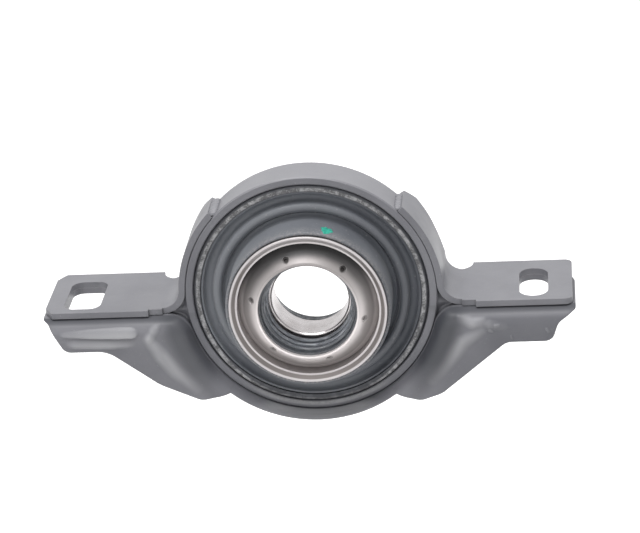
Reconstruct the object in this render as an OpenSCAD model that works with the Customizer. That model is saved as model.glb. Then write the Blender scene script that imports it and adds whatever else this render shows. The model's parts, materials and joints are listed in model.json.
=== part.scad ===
// Driveshaft centre bearing: a sealed ball bearing carried in a rubber
// cushion inside a pressed steel bracket with two slotted feet.
// The origin is the middle of the bearing, on the shaft axis.
// +X is to the right foot, +Y is to the rear, +Z is up. Sizes are in mm.

/* [Bearing] */
// Diameter of the bore that the shaft presses into
bore_d = 30; // [28:0.5:31]
// Outside diameter of the outer race
bearing_d = 55; // [54:0.5:56]
// Width of both races
bearing_w = 13; // [12:0.5:14]
// Diameter of each ball
ball_d = 7; // [6.6:0.1:7.2]
// Clearance between a ball and the bottom of its groove
ball_gap = 0.3; // [0.3:0.05:0.4]
// Height of each race from its back to its shoulder
race_h = 3.6; // [3.5:0.05:3.7]

/* [Carrier and dust covers] */
// Wall of the tube around the bearing
carrier_wall = 3.1; // [2.6:0.1:3.4]
// Length of the carrier tube
carrier_len = 35; // [34:0.5:36]
// Thickness of the pressed dust covers
cover_t = 1.2; // [1:0.1:1.4]
// Distance from the middle to the lip of a dust cover
cover_reach = 18.7; // [18.2:0.1:19]
// Radial room between the bore and the lip of a dust cover
cover_room = 4.2; // [4:0.1:4.4]
// Diameter of the dimples staked in the dust covers
stake_d = 3; // [2.4:0.1:3.4]
// Diameter of the pit in the middle of a dimple
pit_d = 1.7; // [1.2:0.1:2]
// Angle of the first stake mark above +X
stake_turn = 48.5; // [0:0.5:59]

/* [Rubber cushion] */
// Running gap between the rubber hub and the carrier
hub_gap = 0.05; // [0.03:0.01:0.1]
// Thickness of the rubber over the carrier
hub_t = 1.4; // [1:0.1:1.6]
// Share of the room between hub and sleeve that the trough takes
trough_share = 0.34; // [0.27:0.01:0.36]

/* [Support ring] */
// Outside radius of the ring
ring_ro = 49.3; // [48:0.1:50.6]
// Wall of the ring
ring_wall = 3.2; // [2.8:0.1:3.6]
// Wall of the sleeve that the rubber is bonded to
sleeve_wall = 2.9; // [2.5:0.1:3.2]
// Front face of the ring and the sleeve
ring_front = -3; // [-3.4:0.1:-2.6]
// Width of the ring along the shaft
ring_w = 16; // [15:0.5:17]

/* [Arms and feet] */
// Thickness of the pressed sheet
sheet_t = 2.5; // [2.2:0.1:2.7]
// Height of the feet's top faces
foot_z = -3.6; // [-4.2:0.1:-3.2]
// Front edge of the feet
foot_front = -5.5; // [-6:0.1:-5]
// Rear edge of the feet
foot_rear = 32; // [31.4:0.2:33]
// Reach of the left foot from the shaft axis
left_reach = 105.6; // [104:0.2:107]
// Reach of the right foot from the shaft axis
right_reach = 101.4; // [100:0.2:103]
// Radius in the corner between a foot and its arm
arm_fillet = 7; // [6:0.5:7.5]
// Angle above +X at which an arm ends on the ring
arm_end = 43.5; // [40:0.5:46]
// Rear edge of an arm on the ring
arm_rear = 18.5; // [17:0.5:19]
// Rear edge of an arm at its bend
bend_rear = 25.5; // [24.5:0.5:26]
// Chamfer at the end of the left foot
foot_chamfer = 3.2; // [2:0.1:4]
// Corner radius at the end of the right foot
foot_corner = 3; // [2:0.5:5]
// Distance of the left hole's middle from the end of its foot
left_hole_inset = 14.3; // [13:0.1:15.5]
// Distance of the right slot's middle from the end of its foot
right_hole_inset = 15.1; // [13.5:0.1:16.5]
// Width of the left hole
left_hole_w = 14.6; // [13:0.1:15]
// Width of the right slot
right_hole_w = 11.3; // [10.5:0.1:12]
// Length of the bolt holes along the shaft
hole_len = 26.2; // [24:0.1:26.6]
// Middle of the bolt holes along the shaft
hole_y = 11.1; // [10.8:0.1:12]

/* [Lower saddle] */
// Front face of the saddle's flange
flange_front = -9; // [-9.4:0.1:-8.6]
// Height of the flange's lower edge under the left foot
flange_z = -19.1; // [-21:0.1:-18]
// How much lower that edge is under the right foot
flange_drop = 0.75; // [0:0.05:1]
// Distance from the left foot's end to the end of the flange's lower edge
left_flange_inset = 7.6; // [6:0.1:9]
// Distance from the right foot's end to the end of the flange's lower edge
right_flange_inset = 8.4; // [7:0.1:10]
// Distance from the left foot's end at which the flange's edge starts down
left_wing_start = 24.3; // [22:0.1:26]
// Distance from the right foot's end at which the flange's edge starts down
right_wing_start = 26.1; // [24:0.1:28]
// Outside radius of the bend between web and flange
flange_bend = 7; // [6:0.5:8]
// Fillet under the web where it turns down round the ring
web_fillet = 8; // [7.5:0.5:9]
// Height of the lip that the flange leaves under the ring
cup_lip = 2.8; // [2.6:0.1:4]
// Angle above +X at which the flange's left wing ends under the ring
left_wing_end = 228; // [225:0.5:232]
// Angle above +X at which the flange's right wing ends under the ring
right_wing_end = 308.5; // [305:0.5:311]
// Width of the left wing outside the ring, near its end
left_wing_w = 12.4; // [11:0.1:14]
// Width of the left wing outside the ring, where it widens
left_wing_root = 21.1; // [19:0.1:23]
// Width of the right wing outside the ring, near its end
right_wing_w = 11; // [10:0.1:12]
// Width of the right wing outside the ring, where it widens
right_wing_root = 15.1; // [14:0.1:17]
// Rear edge of the cup
cup_rear = 20; // [18:0.5:22]

/* [Hidden] */
$fn = 96;
eps = 0.01;
seam = 0.03;
bore_r = bore_d/2;
race_ro = bearing_d/2;
half_w = bearing_w/2;
pitch_r = (bore_r + race_ro)/2;
ball_r = ball_d/2;
groove_r = ball_r + ball_gap;
ball_count = 11;
inner_shoulder = bore_r + race_h;
outer_shoulder = race_ro - race_h;
seal_gap = 0.3;
seal_t = 1;
seal_depth = 1;
seal_seat = 0.6;
race_chamfer = 0.6;
cage_room = 2.2;
cage_w = half_w - cage_room;
cage_half_h = 0.236*(outer_shoulder - inner_shoulder);
pocket_gap = 0.15;
rivet_r = 0.6;
rivet_head = 0.4;
seal_wall = 0.7;
lip_round = 0.8;
cover_lip_r = bore_r + cover_room;
carrier_ro = race_ro + carrier_wall;
carrier_end = carrier_len/2;
hub_ri = carrier_ro + hub_gap;
hub_ro = carrier_ro + hub_t;
ring_ri = ring_ro - ring_wall;
sleeve_ri = ring_ri - sleeve_wall;
skin_t = 1;
rubber_room = sleeve_ri - hub_ro;
trough_half = trough_share*rubber_room/2;
trough_y = -1.2;
fold_r = sleeve_ri - skin_t - 2*trough_half;
fold_rear = 5.4;
ring_rear = ring_front + ring_w;
web_z = foot_z - sheet_t;
arm_ro = ring_ro + sheet_t;
arm_top = arm_ro*sin(arm_end);
arm_c_z = foot_z + arm_fillet;
arm_c_x = sqrt((arm_ro + arm_fillet)*(arm_ro + arm_fillet) - arm_c_z*arm_c_z);
arm_angle = atan2(arm_c_z, arm_c_x);
corner_r = web_fillet + sheet_t;
corner_z = web_z - corner_r;
corner_x = sqrt((ring_ro + corner_r)*(ring_ro + corner_r) - corner_z*corner_z);
corner_angle = atan2(-corner_z, corner_x);
web_rear = foot_rear - 1;
left_over = 0.6;
right_over = 1;
far = left_reach + right_reach;

// Turns a section about the shaft axis; 2-D x is radius, 2-D y is along the shaft
module revolve() {
    rotate([-90, 0, 0])
        rotate_extrude()
            children();
}

// Turns a section part of the way, from angle a0 to a1 above +X
module revolve_part(a0, a1) {
    intersection() {
        revolve()
            children();
        along_y(-far, far)
            wedge([0, 0], a0, a1, far);
    }
}

// Extrudes a front view (2-D y is up) from depth y0 to depth y1
module along_y(y0, y1) {
    translate([0, y1, 0])
        rotate([90, 0, 0])
            linear_extrude(y1 - y0)
                children();
}

// Extrudes a side view (2-D x is depth, 2-D y is up) from x0 to x1
module along_x(x0, x1) {
    translate([x0, 0, 0])
        rotate([90, 0, 90])
            linear_extrude(x1 - x0)
                children();
}

module rect(x0, x1, y0, y1) {
    translate([x0, y0])
        square([x1 - x0, y1 - y0]);
}

module disc(x, y, r) {
    translate([x, y])
        circle(r);
}

// A wedge from a point, between two directions less than 180 degrees apart
module wedge(p, a0, a1, l) {
    am = (a0 + a1)/2;
    polygon([p,
        [p[0] + l*cos(a0), p[1] + l*sin(a0)],
        [p[0] + 2*l*cos(am), p[1] + 2*l*sin(am)],
        [p[0] + l*cos(a1), p[1] + l*sin(a1)]]);
}

// Unit vector from a to b
function unit(a, b) = (b - a)/norm(b - a);

// Points of one rounded corner p with radius r, between corners a and b
function corner_arc(a, p, b, r, n) =
    let (u = unit(p, a), v = unit(p, b), half = acos(u*v)/2,
        c = p + unit([0, 0], u + v)*r/sin(half),
        s = p + u*r/tan(half) - c, e = p + v*r/tan(half) - c,
        a0 = atan2(s[1], s[0]), turn = atan2(s[0]*e[1] - s[1]*e[0], s*e))
    [for (k = [0:n]) c + r*[cos(a0 + turn*k/n), sin(a0 + turn*k/n)]];

// A closed outline of [x, y, corner radius] rows
function rounded(rows) =
    let (m = len(rows), xy = [for (q = rows) [q[0], q[1]]])
    [for (i = [0:m - 1]) each
        rows[i][2] > 0
            ? corner_arc(xy[(i + m - 1) % m], xy[i], xy[(i + 1) % m], rows[i][2], 8)
            : [xy[i]]];

// The bearing

module inner_race() {
    color([0.75, 0.72, 0.70])
        revolve()
            difference() {
                polygon([[bore_r, -half_w + race_chamfer], [bore_r + race_chamfer, -half_w],
                    [inner_shoulder, -half_w], [inner_shoulder, half_w],
                    [bore_r + race_chamfer, half_w], [bore_r, half_w - race_chamfer]]);
                disc(pitch_r, 0, groove_r);
            }
}

module outer_race() {
    color([0.72, 0.70, 0.68])
        revolve()
            difference() {
                rect(outer_shoulder, race_ro, -half_w, half_w);
                disc(pitch_r, 0, groove_r);
                for (side = [-1, 1])
                    seal_section(side, outer_shoulder - 1);
            }
}

// Section of a bearing seal from radius r to its seat in the outer race
module seal_section(side, r) {
    y = side*(half_w - seal_depth);
    rect(r, outer_shoulder + seal_seat, y - seal_t/2, y + seal_t/2);
}

module bearing_seal(side) {
    color([0.10, 0.10, 0.11])
        revolve()
            seal_section(side, inner_shoulder + seal_gap);
}

module front_bearing_seal() {
    bearing_seal(-1);
}

module rear_bearing_seal() {
    bearing_seal(1);
}

module at_balls(turn) {
    for (k = [0:ball_count - 1])
        rotate([0, -(k + turn)*360/ball_count, 0])
            translate([pitch_r, 0, 0])
                children();
}

// One half of the riveted cage, with half of each radial pocket; made as the rear one
module cage_half() {
    difference() {
        revolve()
            rect(pitch_r - cage_half_h, pitch_r + cage_half_h, 0, cage_w);
        at_balls(0)
            rotate([0, 90, 0])
                cylinder(r = ball_r + pocket_gap, h = ball_d, center = true);
        at_balls(0.5)
            rotate([-90, 0, 0])
                translate([0, 0, -1])
                    cylinder(r = rivet_r, h = cage_w + 2);
    }
}

module rear_cage() {
    color([0.62, 0.58, 0.50])
        cage_half();
}

module front_cage() {
    color([0.62, 0.58, 0.50])
        mirror([0, 1, 0])
            cage_half();
}

module cage_rivets() {
    color([0.60, 0.58, 0.55])
        at_balls(0.5)
            rotate([-90, 0, 0])
                rotate_extrude() {
                    rect(0, rivet_r, -cage_w, cage_w);
                    rect(0, rivet_r + rivet_head, cage_w, cage_w + rivet_head);
                    rect(0, rivet_r + rivet_head, -cage_w - rivet_head, -cage_w);
                }
}

module ball(k) {
    color([0.85, 0.85, 0.86])
        rotate([0, -(k - 1)*360/ball_count, 0])
            translate([pitch_r, 0, 0])
                sphere(ball_r);
}

// The carrier tube, its dust covers and their lip seals

module bearing_carrier() {
    color([0.55, 0.53, 0.52])
        revolve() {
            e = carrier_end;
            polygon([[race_ro, -e + 1.3], [race_ro + 0.7, -e + 1.3],
                [carrier_ro - 0.7, -e], [carrier_ro - 0.2, -e],
                [carrier_ro, -e + 0.2], [carrier_ro, e - 0.2],
                [carrier_ro - 0.2, e], [carrier_ro - 0.7, e],
                [race_ro + 0.7, e - 1.3], [race_ro, e - 1.3]]);
        }
}

// A pressed cover with a 45 degree face, staked at six points; made as the rear one
module dust_cover() {
    lip_ro = cover_lip_r + 0.6;
    tube_ro = cover_lip_r + cover_t;
    cone_y = cover_reach - (race_ro - lip_ro);
    slant = cover_t*sqrt(2);
    stake_r = (lip_ro + race_ro)/2 - 1.65;
    difference() {
        revolve()
            polygon([[race_ro, half_w], [race_ro, cone_y], [lip_ro, cover_reach],
                [cover_lip_r, cover_reach], [cover_lip_r, cover_reach - 6.2],
                [tube_ro, cover_reach - 6.2],
                [tube_ro, cone_y + race_ro - tube_ro - slant],
                [race_ro - cover_t, cone_y + cover_t - slant],
                [race_ro - cover_t, half_w]]);
        for (k = [0:5])
            rotate([0, -stake_turn - 60*k, 0])
                translate([stake_r, cone_y + race_ro - stake_r, 0])
                    rotate([0, 0, -45])
                        rotate([-90, 0, 0]) {
                            translate([0, 0, -cover_t/4])
                                cylinder(d = stake_d, h = stake_d, $fn = 32);
                            translate([0, 0, -cover_t*0.75])
                                cylinder(d = pit_d, h = stake_d, $fn = 32);
                        }
    }
}

module rear_dust_cover() {
    color([0.66, 0.62, 0.60])
        dust_cover();
}

module front_dust_cover() {
    color([0.66, 0.62, 0.60])
        mirror([0, 1, 0])
            dust_cover();
}

// One lip of the seal, reaching in from the seal's wall to radius r at depth y
module seal_lip(r, y) {
    disc(r + lip_round, y, lip_round);
    rect(r + lip_round, cover_lip_r - seal_wall/2, y - lip_round/2, y + lip_round/2);
}

// A moulded seal with three lips, each closer to the shaft; made as the rear one
module lip_seal() {
    revolve() {
        rect(cover_lip_r - seal_wall, cover_lip_r, half_w + 1.6, cover_reach - 1.6);
        seal_lip(bore_r + 2.3, cover_reach - 4.4);
        seal_lip(bore_r + 1.7, cover_reach - 7);
        seal_lip(bore_r + 1, half_w + 2.6);
    }
}

module rear_lip_seal() {
    color([0.20, 0.22, 0.25])
        lip_seal();
}

module front_lip_seal() {
    color([0.20, 0.22, 0.25])
        mirror([0, 1, 0])
            lip_seal();
}

// The rubber cushion: a hub over the carrier, a fold and a skin bonded to the sleeve

module rubber_cushion() {
    trough_r = fold_r + trough_half;
    crest_y = ring_front + 1.5;
    behind_r = hub_ro + 0.24*rubber_room;
    behind_half = 0.15*rubber_room;
    behind_y = crest_y + 4.7;
    color([0.22, 0.24, 0.27])
        revolve() {
            // hub
            rect(hub_ri, hub_ro, -carrier_end + 1, carrier_end - 1);
            difference() {
                union() {
                    // fold with its rounded crest, and the skin on the sleeve
                    rect(hub_ri, fold_r, crest_y + 1.1, fold_rear);
                    disc(fold_r - trough_half, crest_y, trough_half);
                    rect(fold_r - 1.7*trough_half, fold_r, crest_y, fold_rear - 1);
                    rect(fold_r - eps, sleeve_ri, ring_front + 0.6, fold_rear);
                    rect(sleeve_ri - skin_t, sleeve_ri, fold_rear - eps, ring_rear - 0.6);
                }
                // trough in front, beside the sleeve
                rect(fold_r, fold_r + 2*trough_half, -far, trough_y);
                disc(trough_r, trough_y, trough_half);
                // trough behind the crest, towards the hub
                rect(behind_r - behind_half, behind_r + behind_half, behind_y, far);
                disc(behind_r, behind_y, behind_half);
            }
        }
}

// The bonded sleeve and the ring that it presses into

module bonded_sleeve() {
    color([0.62, 0.60, 0.57])
        revolve()
            polygon([[sleeve_ri, ring_front], [ring_ri - 0.9, ring_front],
                [ring_ri, ring_front + 1.2], [ring_ri, ring_rear - 1.2],
                [ring_ri - 0.9, ring_rear], [sleeve_ri, ring_rear]]);
}

module support_ring() {
    color([0.44, 0.44, 0.47])
        revolve()
            polygon([[ring_ri, ring_front + 0.4], [ring_ri + 0.4, ring_front],
                [ring_ro - 0.5, ring_front], [ring_ro, ring_front + 0.5],
                [ring_ro, ring_rear - 0.5], [ring_ro - 0.5, ring_rear],
                [ring_ri + 0.4, ring_rear], [ring_ri, ring_rear - 0.4]]);
}

// The arms, drawn for the right side

// Front view of one pressing: curved arm, fillet and foot
module arm_front(reach) {
    // arm on the ring
    intersection() {
        difference() {
            circle(arm_ro);
            circle(ring_ro);
        }
        wedge([0, 0], arm_angle, arm_end, far);
    }
    // fillet between arm and foot
    intersection() {
        difference() {
            disc(arm_c_x, arm_c_z, arm_fillet + sheet_t);
            disc(arm_c_x, arm_c_z, arm_fillet);
        }
        wedge([arm_c_x, arm_c_z], 180 + arm_angle, 270, far);
    }
    // keeps arm and fillet one sheet where their arcs meet
    disc((ring_ro + sheet_t/2)*cos(arm_angle), (ring_ro + sheet_t/2)*sin(arm_angle), sheet_t/4);
    // foot
    rect(arm_c_x, reach, web_z, foot_z);
}

// Side view of the arm above the foot: narrow on the ring, wide at the bend
module arm_side() {
    waist_z = 0.53*arm_top;
    scoop = waist_z - 1;
    notch = 2*sheet_t;
    difference() {
        union() {
            rect(ring_front, arm_rear, web_z - 1, arm_ro);
            difference() {
                rect(arm_rear - eps, bend_rear, web_z - 1, waist_z);
                disc(arm_rear + scoop, waist_z, scoop);
            }
        }
        polygon([[arm_rear - notch, arm_top + 0.3], [arm_rear + eps, arm_top - notch],
            [arm_rear + 1, arm_top - notch], [arm_rear + 1, arm_ro + 1],
            [arm_rear - notch, arm_ro + 1]]);
    }
}

// Plan of the foot, with the round notch behind the bend
module foot_plan(outer) {
    difference() {
        union() {
            polygon(rounded(concat([[arm_c_x, foot_front, 0]], outer,
                [[arm_c_x, foot_rear, 0]])));
            rect(arm_c_x - 3, arm_c_x + eps, ring_front, foot_rear);
        }
        disc(arm_c_x - 0.39*arm_fillet, foot_rear - 0.5, 0.9*arm_fillet);
        rect(arm_c_x - arm_fillet, arm_c_x + 0.77*arm_fillet,
            foot_front - 1, foot_front + 0.2*arm_fillet);
    }
}

module arm(reach, outer) {
    intersection() {
        along_y(foot_front - 1, foot_rear + 1)
            arm_front(reach);
        union() {
            translate([0, 0, web_z - 1])
                linear_extrude(sheet_t + 2)
                    foot_plan(outer);
            along_x(0, arm_c_x)
                arm_side();
        }
    }
}

// Bolt hole with straight sides; round_r is the corner radius
module bolt_hole(w, round_r) {
    l = hole_len;
    translate([0, hole_y, web_z - 2*sheet_t])
        linear_extrude(4*sheet_t)
            union() {
                rect(-w/2, w/2, -l/2 + round_r, l/2 - round_r);
                if (round_r < w/2)
                    rect(-w/2 + round_r, w/2 - round_r, -l/2, l/2);
                for (sx = [-1, 1])
                    for (sy = [-1, 1])
                        disc(sx*(w/2 - round_r), sy*(l/2 - round_r), round_r);
            }
}

module left_hole() {
    translate([left_hole_inset - left_reach, 0, 0])
        bolt_hole(left_hole_w, left_hole_w*0.31);
}

module right_hole() {
    translate([right_reach - right_hole_inset, 0, 0])
        bolt_hole(right_hole_w, right_hole_w/2);
}

module left_arm() {
    color([0.44, 0.44, 0.47])
        difference() {
            mirror([1, 0, 0])
                arm(left_reach, [[left_reach - foot_chamfer, foot_front, 1],
                    [left_reach, foot_front + 1.5*foot_chamfer, 1],
                    [left_reach, foot_rear - 1.6*foot_chamfer, 1],
                    [left_reach - foot_chamfer, foot_rear, 1]]);
            left_hole();
        }
}

module right_arm() {
    color([0.44, 0.44, 0.47])
        difference() {
            arm(right_reach, [[right_reach, foot_front, foot_corner],
                [right_reach, foot_rear, foot_corner]]);
            right_hole();
        }
}

// The lower saddle: a web under the feet and round the ring, with a front flange

// Front view of all that lies at least d below or outside the web's top face
module under_web(d) {
    difference() {
        rect(-far, far, -far, web_z - d);
        circle(ring_ro + d);
        for (s = [-1, 1])
            difference() {
                polygon([[s*corner_x, corner_z], [s*corner_x, web_z + 1],
                    [s*(ring_ro - 6), web_z + 1],
                    [s*(ring_ro - 1)*cos(corner_angle), -(ring_ro - 1)*sin(corner_angle)]]);
                disc(s*corner_x, corner_z, corner_r - d);
            }
    }
}

// Section of the bend; 2-D x is depth and 2-D y is below the web's top.
// A corner grows by a hair, so that the straight and round bends end inside it.
module bend_section(grow) {
    r = flange_bend;
    intersection() {
        difference() {
            disc(flange_front + r, r, r + grow);
            disc(flange_front + r, r, r - sheet_t - grow);
        }
        rect(flange_front - 1, flange_front + r, -1, r);
    }
}

// Corner where the web turns down, on the right
module corner_bend() {
    translate([corner_x, 0, corner_z])
        revolve_part(90, 180 - corner_angle)
            translate([corner_r, 0])
                rotate(90)
                    bend_section(seam);
}

// Straight bend under the right foot, reaching past the foot's end
module foot_bend(reach) {
    translate([0, 0, web_z])
        along_x(corner_x - 0.1, reach)
            mirror([0, 1])
                bend_section(0);
}

// Bend round the ring
module cup_bend() {
    revolve_part(179.7 + corner_angle, 360.3 - corner_angle)
        translate([ring_ro, 0])
            mirror([1, -1])
                bend_section(0);
}

// A point of the front view at radius r, and a sharp corner 3 mm past b on the way from a
function at(r, a) = [r*cos(a), r*sin(a)];
function past(a, b) = concat(b + 3*unit(a, b), [0]);

// Front view of the left and right halves, down to the flange's lower edge
module left_outline() {
    end = -left_reach - left_over;
    wing = at(ring_ro + left_wing_w, left_wing_end - 5.6);
    polygon(rounded([[0, -2, 0], [end, -2, 0], [end, web_z - 0.4, 1],
        [-left_reach + 0.21*left_flange_inset, web_z - 1.7, 2],
        [-left_reach + left_flange_inset, flange_z, 4],
        [-left_reach + left_wing_start, flange_z, 12],
        concat(at(ring_ro + left_wing_root, left_wing_end - 18.9), [20]), concat(wing, [6]),
        past(wing, at(ring_ro + cup_lip + 1.2, left_wing_end))]));
}

module right_outline() {
    end = right_reach + right_over;
    low = flange_z - flange_drop;
    wing = at(ring_ro + right_wing_w, right_wing_end + 4.4);
    polygon(rounded([[0, -2, 0],
        past(wing, at(ring_ro + cup_lip + 1.7, right_wing_end)), concat(wing, [6]),
        concat(at(ring_ro + right_wing_root, right_wing_end + 11.7), [8]),
        [right_reach - right_wing_start, low, 6], [right_reach - right_flange_inset, low, 4],
        [right_reach - 0.7*right_flange_inset, 0.55*web_z + 0.45*low, 5],
        [end, web_z - 1.4, 1], [end, -2, 0]]));
}

// Side view of the web: full depth under the feet, narrower round the cup
module web_side() {
    polygon(rounded([[flange_front + flange_bend, 0, 0], [web_rear, 0, 0],
        [web_rear, corner_z + 0.4*corner_r, 6], [cup_rear, corner_z - 1.33*corner_r, 6],
        [cup_rear, -far, 0], [flange_front + flange_bend, -far, 0]]));
}

// Plan of the saddle's ends
module saddle_plan() {
    polygon(rounded([[-left_reach - left_over, flange_front - 1, 0],
        [right_reach + right_over, flange_front - 1, 0],
        [right_reach + right_over, web_rear - 2*flange_bend, 3],
        [right_reach - foot_corner, web_rear, 3], [-left_reach + foot_corner, web_rear, 3],
        [-left_reach - left_over, web_rear - web_fillet, 3]]));
}

// The flat web and cup, behind the bends
module saddle_web() {
    intersection() {
        along_y(flange_front + flange_bend, web_rear)
            difference() {
                under_web(0);
                under_web(sheet_t);
            }
        along_x(-far, far)
            web_side();
        translate([0, 0, -far])
            linear_extrude(far)
                saddle_plan();
    }
}

// The bends and the flat flange below them, cut to one outline with a low lip
// left under the ring
module saddle_front() {
    intersection() {
        union() {
            foot_bend(right_reach + 5);
            corner_bend();
            mirror([1, 0, 0]) {
                foot_bend(left_reach + 5);
                corner_bend();
            }
            cup_bend();
            along_y(flange_front, flange_front + sheet_t)
                under_web(flange_bend);
        }
        along_y(flange_front - 1, flange_front + flange_bend + 1) {
            left_outline();
            right_outline();
            circle(ring_ro + cup_lip);
        }
    }
}

module lower_saddle() {
    color([0.42, 0.42, 0.45])
        difference() {
            union() {
                saddle_web();
                saddle_front();
            }
            left_hole();
            right_hole();
        }
}

support_ring();
left_arm();
right_arm();
lower_saddle();
bonded_sleeve();
rubber_cushion();
bearing_carrier();
front_dust_cover();
rear_dust_cover();
front_lip_seal();
rear_lip_seal();
outer_race();
inner_race();
front_bearing_seal();
rear_bearing_seal();
front_cage();
rear_cage();
cage_rivets();
ball(1);  // ball_01
ball(2);  // ball_02
ball(3);  // ball_03
ball(4);  // ball_04
ball(5);  // ball_05
ball(6);  // ball_06
ball(7);  // ball_07
ball(8);  // ball_08
ball(9);  // ball_09
ball(10);  // ball_10
ball(11);  // ball_11
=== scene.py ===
# %% [markdown]
# # A driveshaft centre bearing
# A long driveshaft is made in two lengths, and this part holds up the middle. A sealed ball bearing
# sits in a rubber cushion, the cushion sits in a steel ring, and the ring is welded into a pressed,
# painted bracket with a bolt hole in each foot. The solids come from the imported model, in metres;
# this lesson gives them their finishes and adds the soft and uneven pieces. A few sizes that the
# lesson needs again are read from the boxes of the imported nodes.

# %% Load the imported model
import json
import math

import bpy
import numpy as np
from mathutils import Matrix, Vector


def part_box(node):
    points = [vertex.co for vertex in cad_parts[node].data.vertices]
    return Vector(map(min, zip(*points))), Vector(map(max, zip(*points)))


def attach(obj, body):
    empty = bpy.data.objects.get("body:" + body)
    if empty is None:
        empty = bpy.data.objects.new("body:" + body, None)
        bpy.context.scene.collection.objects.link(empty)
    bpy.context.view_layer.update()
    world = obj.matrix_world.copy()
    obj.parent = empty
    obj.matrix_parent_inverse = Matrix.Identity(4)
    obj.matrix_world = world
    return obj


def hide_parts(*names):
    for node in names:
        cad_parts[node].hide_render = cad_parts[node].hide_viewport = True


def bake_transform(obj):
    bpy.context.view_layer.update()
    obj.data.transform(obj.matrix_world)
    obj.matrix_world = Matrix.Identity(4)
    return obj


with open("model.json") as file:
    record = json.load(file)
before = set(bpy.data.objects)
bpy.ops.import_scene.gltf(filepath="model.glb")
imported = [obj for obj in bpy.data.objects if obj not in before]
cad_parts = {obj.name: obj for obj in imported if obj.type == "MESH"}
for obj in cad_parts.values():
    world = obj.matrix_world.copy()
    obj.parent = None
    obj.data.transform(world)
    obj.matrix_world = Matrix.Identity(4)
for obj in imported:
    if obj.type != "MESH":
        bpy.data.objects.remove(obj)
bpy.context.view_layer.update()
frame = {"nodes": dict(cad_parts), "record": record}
MM = 0.001


def box_mm(node):
    """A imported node's lowest and highest corners in mm, rounded to whole micrometres."""
    return np.round(np.array([list(corner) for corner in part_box(node)]) / MM, 3)


RING, RING_FRONT_Y = box_mm("support_ring")[1][0], box_mm("support_ring")[0][1]
RING_BORE = box_mm("bonded_sleeve")[1][0]
WEB_Z = box_mm("left_arm")[0][2]
print("ring radius", RING, "bore", RING_BORE, "front at", RING_FRONT_Y, "web at", WEB_Z)

# %% [markdown]
# ## The camera
# The bearing is seen from the front, a little from the right and from above, and the picture is
# turned a few degrees. A camera could be aimed with a constraint, but a turned picture is easier to
# get from three vectors: the way back to the camera, and the picture's right and up. They are the
# columns of the camera's matrix. A long lens keeps the two feet at nearly the same scale. The camera
# is then slid sideways until the middle of the ring's front falls on its pixel.

# %% Place the camera
def camera_vectors(azimuth, elevation, roll):
    """Back points from the object to the camera. Right is level, up is back x right, and both are
    turned together about back by the roll."""
    a, e, r = (math.radians(v) for v in (azimuth, elevation, roll))
    back = np.array([math.sin(a) * math.cos(e), -math.cos(a) * math.cos(e), math.sin(e)])
    right = np.array([math.cos(a), math.sin(a), 0.0])
    up = np.cross(back, right)
    return math.cos(r) * right - math.sin(r) * up, math.sin(r) * right + math.cos(r) * up, back


def pose(right, up, back, place):
    """The matrix whose columns are a thing's right, up and back, and its place."""
    return Matrix(np.vstack([np.column_stack([right, up, back, place]), [0, 0, 0, 1]]))


def add_to_scene(name, data):
    """A new object that shows this camera, lamp or mesh."""
    thing = bpy.data.objects.new(name, data)
    bpy.context.scene.collection.objects.link(thing)
    return thing


PICTURE_W, PICTURE_H, SENSOR = 640.0, 533.0, 36.0
FOCAL_PX, DISTANCE = 2500.0, 0.975
AZIMUTH, ELEVATION, ROLL = 6.2, 23.5, 4.3
RING_FRONT = np.array([0.0, RING_FRONT_Y * MM, 0.0])
RING_FRONT_PX = (310.67, 294.97)
right, up, back = camera_vectors(AZIMUTH, ELEVATION, ROLL)
depth = DISTANCE - RING_FRONT @ back
across = (RING_FRONT_PX[0] - PICTURE_W / 2) / FOCAL_PX * depth - RING_FRONT @ right
upward = (PICTURE_H / 2 - RING_FRONT_PX[1]) / FOCAL_PX * depth - RING_FRONT @ up
eye = DISTANCE * back - across * right - upward * up

lens = bpy.data.cameras.new("camera")
lens.sensor_width = SENSOR
lens.lens = FOCAL_PX / PICTURE_W * SENSOR
lens.clip_start, lens.clip_end = 0.01, 20.0
camera = add_to_scene("camera", lens)
camera.matrix_world = pose(right, up, back, eye)
bpy.context.scene.camera = camera
print("camera at", np.round(eye, 3), "lens", round(lens.lens, 1), "mm")

# %% [markdown]
# ## Short ways to write nodes
# Every finish below is a small graph of nodes. Writing each node in full makes a graph hard to read,
# so `put` adds one node and takes its inputs by name: a number sets the socket, and another node's
# output is joined to it. The rest are built on `put`: arithmetic, noise, soft steps and bands, and a
# tint from one colour to another. Most marks on this part follow its height or its distance from the
# shaft, so `fade` and `band` take those in millimetres.

# %% Node helpers
def put(tree, kind, inputs=None, **settings):
    """Adds a node, sets its properties, and fills or joins its inputs."""
    node = tree.nodes.new(kind)
    for name, value in settings.items():
        setattr(node, name, value)
    for key, value in (inputs or {}).items():
        if isinstance(value, bpy.types.NodeSocket):
            tree.links.new(value, node.inputs[key])
        else:
            node.inputs[key].default_value = value
    return node


def math_node(tree, operation, a, b=0.0):
    """One step of arithmetic on sockets or numbers."""
    return put(tree, "ShaderNodeMath", {0: a, 1: b}, operation=operation).outputs[0]


def product(tree, first, *others):
    """All the factors multiplied, one after another."""
    for factor in others:
        first = math_node(tree, "MULTIPLY", first, factor)
    return first


def noise(tree, vector, scale, detail=3.0, roughness=0.55):
    """Cloudy noise from 0 to 1; scale is in cells per metre."""
    return put(tree, "ShaderNodeTexNoise", {"Vector": vector, "Scale": scale, "Detail": detail,
                                            "Roughness": roughness}).outputs["Fac"]


def spread(tree, value, low, high, to_low=0.0, to_high=1.0):
    """Maps low..high to to_low..to_high, smoothly and without running past them."""
    node = put(tree, "ShaderNodeMapRange", {"Value": value, "From Min": low, "From Max": high,
                                            "To Min": to_low, "To Max": to_high},
               interpolation_type="SMOOTHSTEP")
    return node.outputs["Result"]


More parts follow.
